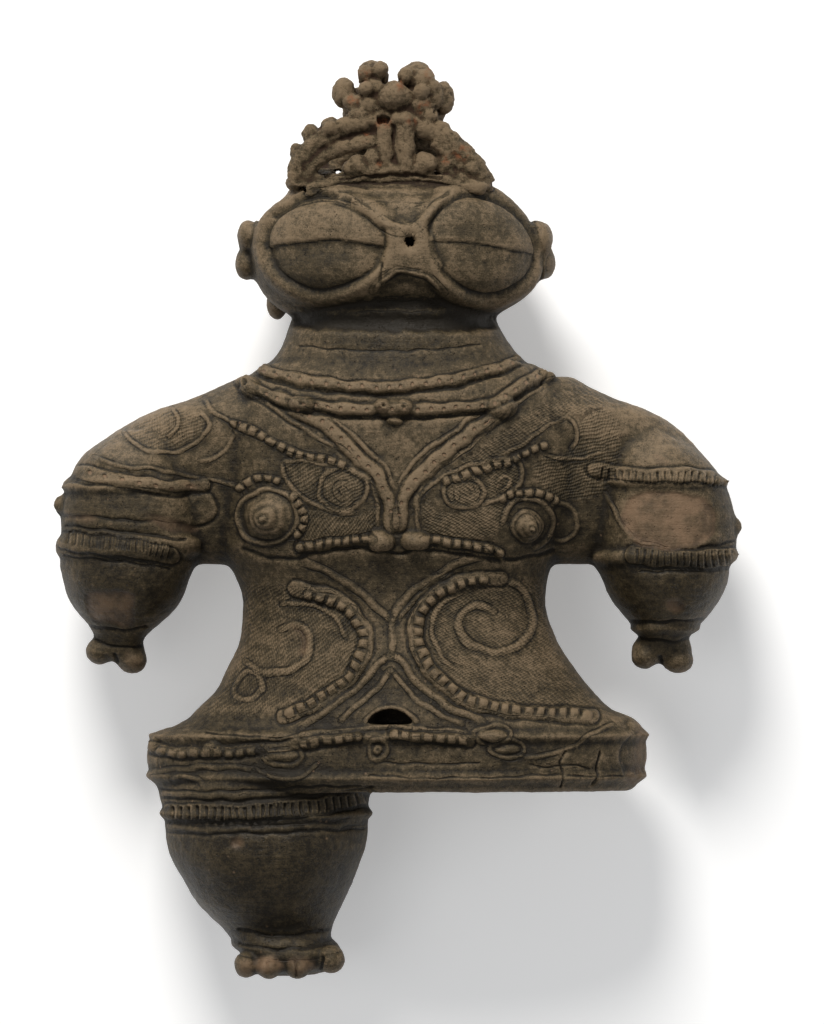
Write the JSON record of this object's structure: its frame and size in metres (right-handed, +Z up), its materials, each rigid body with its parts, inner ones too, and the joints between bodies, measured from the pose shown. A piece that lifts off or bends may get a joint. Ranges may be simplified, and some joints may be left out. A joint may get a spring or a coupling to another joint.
{
  "type": "dogu figurine",
  "caption": "Fired clay figurine with large goggle eyes, openwork crown and cord ornament, one leg broken off, lying on its back.",
  "frame": {"origin": "under the middle of the figurine's box, on the surface that it lies on", "axes": "+Z up, out of the face and chest; +Y towards the crown; +X towards the figure's own left side"},
  "size_m": [0.2566, 0.3426, 0.0877],
  "materials": {
    "fired_clay": "burnished dark fired clay, matt in the recesses and slightly glossy on worn ridges"
  },
  "bodies": {
    "root": {"dogu_figurine": "fired_clay"}
  },
  "joints": []
}
